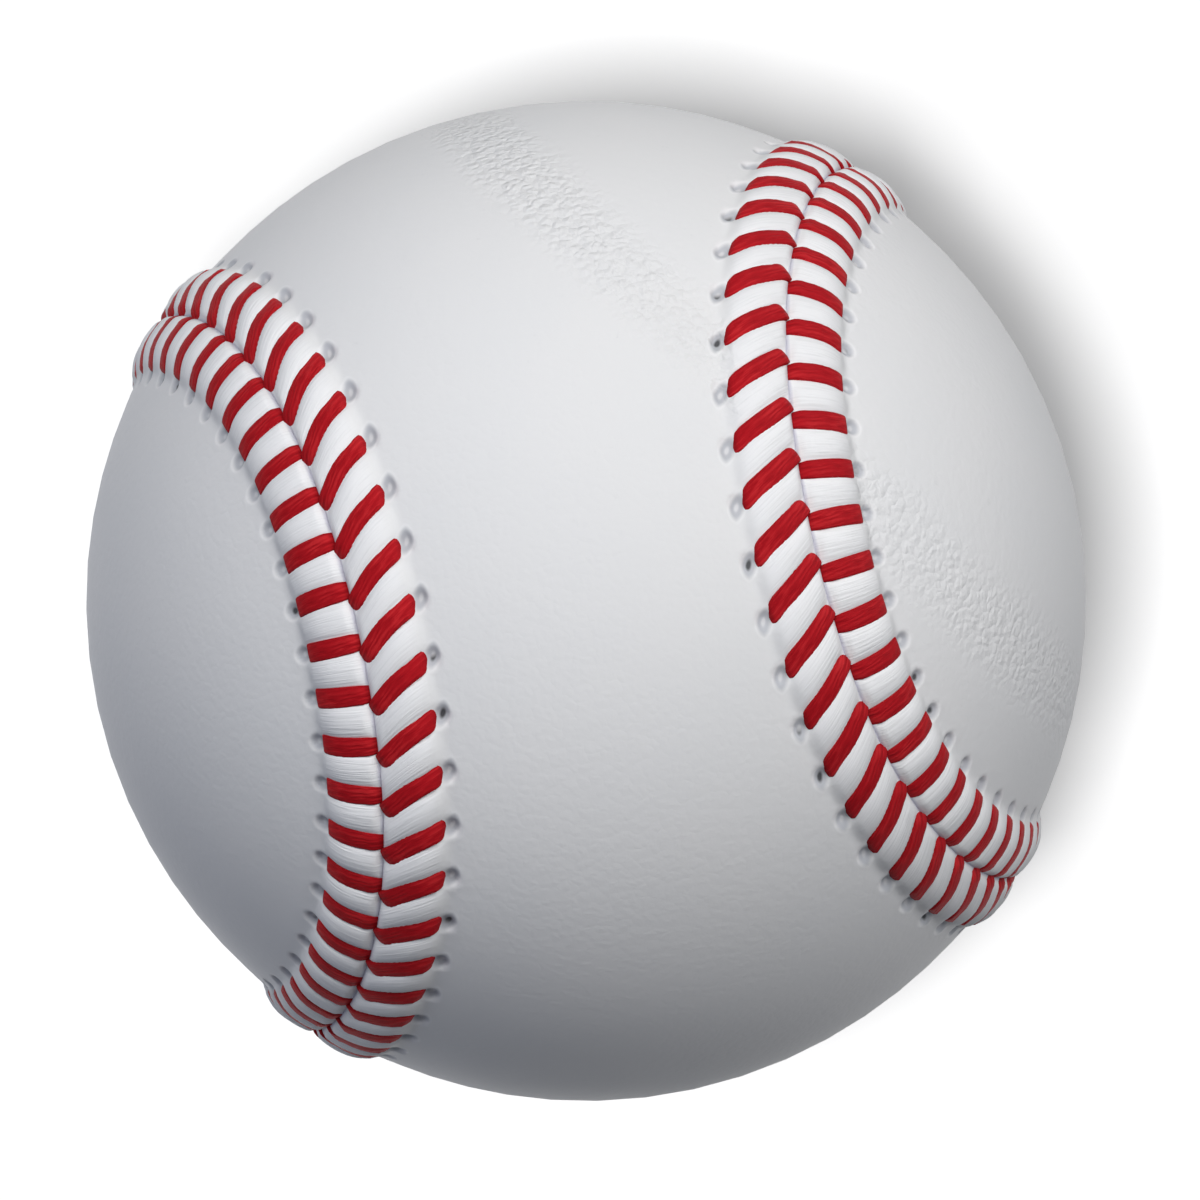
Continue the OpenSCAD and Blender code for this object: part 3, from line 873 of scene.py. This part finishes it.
def make_floor(scene):
    shape = bmesh.new()
    half = scene.baseball_stage.floor_width / 2
    bmesh.ops.create_grid(shape, x_segments=4, y_segments=4, size=half)
    below = (0, 0, -scene.baseball_sizes.diameter / 2)
    bmesh.ops.translate(shape, vec=below, verts=list(shape.verts))
    floor = bpy.data.objects.new("floor", make_mesh("floor", shape, floor_material()))
    scene.collection.objects.link(floor)
    floor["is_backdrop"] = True
    return floor


def make_lamps(scene, floor):
    lit_floor, lit_ball = (bpy.data.collections.new(name) for name in ("lit_floor", "lit_ball"))
    lit_floor.objects.link(floor)
    for thing in dict.fromkeys((*NODES.values(), *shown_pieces())):
        lit_ball.objects.link(thing)
    for name, task, place, long_side, size, power, tint in LAMPS:
        light = bpy.data.lights.new(name, "AREA")
        light.shape = "RECTANGLE"
        light.size, light.size_y = size
        light.energy, light.color = power, tint
        lamp = bpy.data.objects.new(name, light)
        spot = in_picture(place)
        back = spot.normalized()
        side = in_picture(long_side)
        side = (side - back * side.dot(back)).normalized()
        lamp.matrix_world = Matrix.Translation(spot) @ facing(side, back.cross(side), back)
        lamp.visible_camera = False
        lamp.visible_glossy = task == "gloss"
        lamp.visible_diffuse = task != "gloss"
        lamp.light_linking.receiver_collection = lit_floor if task == "floor" else lit_ball
        scene.collection.objects.link(lamp)


def make_world(scene):
    world = bpy.data.worlds.new("studio")
    world.use_nodes = True
    sky = world.node_tree.nodes["Background"]
    sky.inputs["Color"].default_value = WORLD_TINT
    sky.inputs["Strength"].default_value = WORLD_STRENGTH
    scene.world = world


# ---------------------------------------------------------------------------------------------
# Operators


class BASEBALL_OT_cover_panels(bpy.types.Operator):
    """Make the two figure-eight leather panels with their welts and needle holes"""

    bl_idname = "baseball.cover_panels"
    bl_label = "Cover panels"

    def execute(self, context):
        scene = context.scene
        seam = Seam(scene.baseball_sizes)
        for side, name in ((PANEL_A, "cover_panel_a"), (PANEL_B, "cover_panel_b")):
            shape = panel_mesh(side, seam)
            material = leather_material(f"leather_{name[-1]}", scene.baseball_looks, seam)
            panel = make_object(f"leather_{name}", shape, material)
            map_from_numbers(panel.data, "seam_map", "stitch", seam.ball.stitches, "away")
            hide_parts(name)
        return {"FINISHED"}


class BASEBALL_OT_stitching(bpy.types.Operator):
    """Make the two waxed threads that sew the panels together"""

    bl_idname = "baseball.stitching"
    bl_label = "Stitching"

    def execute(self, context):
        scene = context.scene
        seam = Seam(scene.baseball_sizes)
        material = thread_material(scene.baseball_looks)
        for first, name in enumerate(("stitch_thread_one", "stitch_thread_two")):
            shape = strand_mesh(seam, first)
            strand = make_object(f"red_{name}", shape, material)
            map_from_numbers(strand.data, "strand_map", "round", 1.0, "leg")
            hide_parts(name)
        return {"FINISHED"}


# windings: their colour among the looks, the shadow between strands and a strand's width in mm
YARNS = {
    "first_winding": ("grey_wool", (0.10, 0.10, 0.11), 1.4),
    "second_winding": ("white_wool", (0.36, 0.34, 0.30), 1.1),
    "third_winding": ("grey_wool", (0.10, 0.10, 0.11), 1.1),
    "fourth_winding": ("white_cotton", (0.42, 0.40, 0.36), 0.6),
}
YARN_TURNS = ((0.3, 0.2, 0.0), (1.4, 0.5, 0.9), (0.6, 1.5, 2.0), (2.2, 0.9, 1.1))  # radians


class BASEBALL_OT_windings(bpy.types.Operator):
    """Give the four windings their yarn"""

    bl_idname = "baseball.windings"
    bl_label = "Windings"

    def execute(self, context):
        looks = context.scene.baseball_looks
        for node, (key, shadow, width) in YARNS.items():
            wool = getattr(looks, key)
            set_material(node, yarn_material(f"yarn_{node}", wool, shadow, width, YARN_TURNS))
        return {"FINISHED"}


BLACK_DUST, RED_DUST = (0.05, 0.05, 0.052), (0.45, 0.09, 0.07)
BLACK_ROUGHNESS, RED_ROUGHNESS = 0.55, 0.5


class BASEBALL_OT_centre(bpy.types.Operator):
    """Give the cork, the rubber half shells and the washer their finish"""

    bl_idname = "baseball.centre"
    bl_label = "Cork and rubber centre"

    def execute(self, context):
        looks = context.scene.baseball_looks
        set_material("cork_core", cork_material(looks))
        black = rubber_material("black_rubber", looks.black_rubber, BLACK_DUST, BLACK_ROUGHNESS)
        red = rubber_material("red_rubber", looks.red_rubber, RED_DUST, RED_ROUGHNESS)
        for half in ("lower", "upper"):
            set_material(f"black_rubber_shell_{half}", black)
            set_material(f"red_rubber_shell_{half}", red)
        set_material("red_rubber_washer", red)
        return {"FINISHED"}


class BASEBALL_OT_stage(bpy.types.Operator):
    """Make the camera, the floor and the lamps"""

    bl_idname = "baseball.stage"
    bl_label = "Stage"

    def execute(self, context):
        scene = context.scene
        make_camera(scene)
        make_lamps(scene, make_floor(scene))
        make_world(scene)
        scene.view_settings.view_transform = "Standard"
        return {"FINISHED"}


OPERATORS = (
    BASEBALL_OT_cover_panels,
    BASEBALL_OT_stitching,
    BASEBALL_OT_windings,
    BASEBALL_OT_centre,
    BASEBALL_OT_stage,
)
GROUPS = {
    "baseball_sizes": BaseballSizes,
    "baseball_looks": BaseballLooks,
    "baseball_stage": BaseballStage,
}


class BASEBALL_PT_sidebar(bpy.types.Panel):
    """Lists the sizes and colours, and what the add-on makes"""

    bl_idname = "BASEBALL_PT_sidebar"
    bl_label = "Baseball"
    bl_space_type = "VIEW_3D"
    bl_region_type = "UI"
    bl_category = "Baseball"

    def draw(self, context):
        layout = self.layout
        for group in GROUPS:
            box = layout.box()
            settings = getattr(context.scene, group)
            for key in settings.__annotations__:
                box.prop(settings, key)
        for operator in OPERATORS:
            layout.operator(operator.bl_idname)


CLASSES = (*GROUPS.values(), *OPERATORS, BASEBALL_PT_sidebar)


def register():
    for cls in CLASSES:
        bpy.utils.register_class(cls)
    for name, group in GROUPS.items():
        setattr(bpy.types.Scene, name, PointerProperty(type=group))


def unregister():
    for name in GROUPS:
        delattr(bpy.types.Scene, name)
    for cls in reversed(CLASSES):
        bpy.utils.unregister_class(cls)


def main():
    register()
    bpy.ops.baseball.cover_panels()
    bpy.ops.baseball.stitching()
    bpy.ops.baseball.windings()
    bpy.ops.baseball.centre()
    bpy.ops.baseball.stage()


if __name__ == "__main__":
    main()
